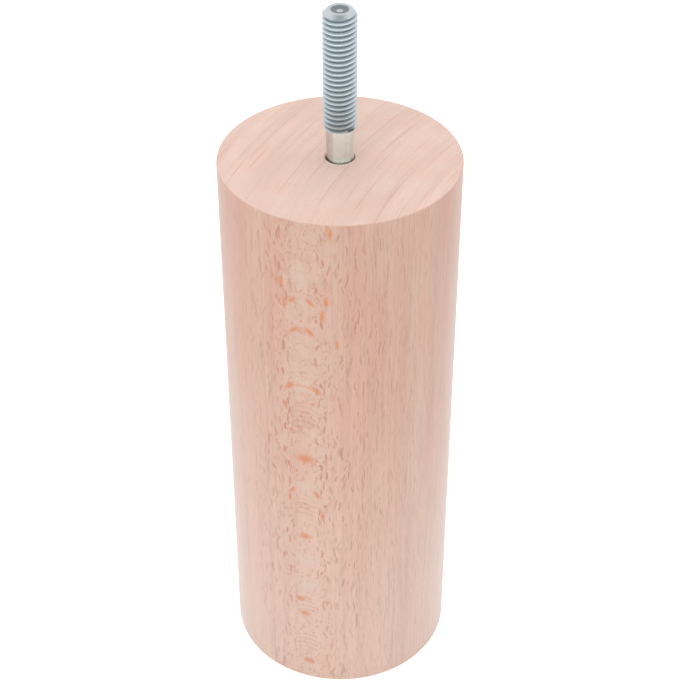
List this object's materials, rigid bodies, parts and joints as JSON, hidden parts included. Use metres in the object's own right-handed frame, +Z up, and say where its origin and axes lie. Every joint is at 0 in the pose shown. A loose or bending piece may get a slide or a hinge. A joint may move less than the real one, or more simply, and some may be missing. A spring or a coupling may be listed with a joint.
{
  "type": "wooden furniture leg",
  "caption": "Straight round beech furniture leg with a threaded steel stud in its top end.",
  "frame": {"origin": "centre of the leg's foot, on the floor", "axes": "+Z up along the leg's axis, towards the stud; -Y is the side that the picture shows"},
  "size_m": [0.058, 0.058, 0.188],
  "materials": {
    "beech": "bare sanded wood, unfinished",
    "zinc_plated_steel": "bright blue-white zinc plating"
  },
  "bodies": {
    "root": {"leg_body": "beech", "hanger_bolt": "zinc_plated_steel"}
  },
  "joints": []
}
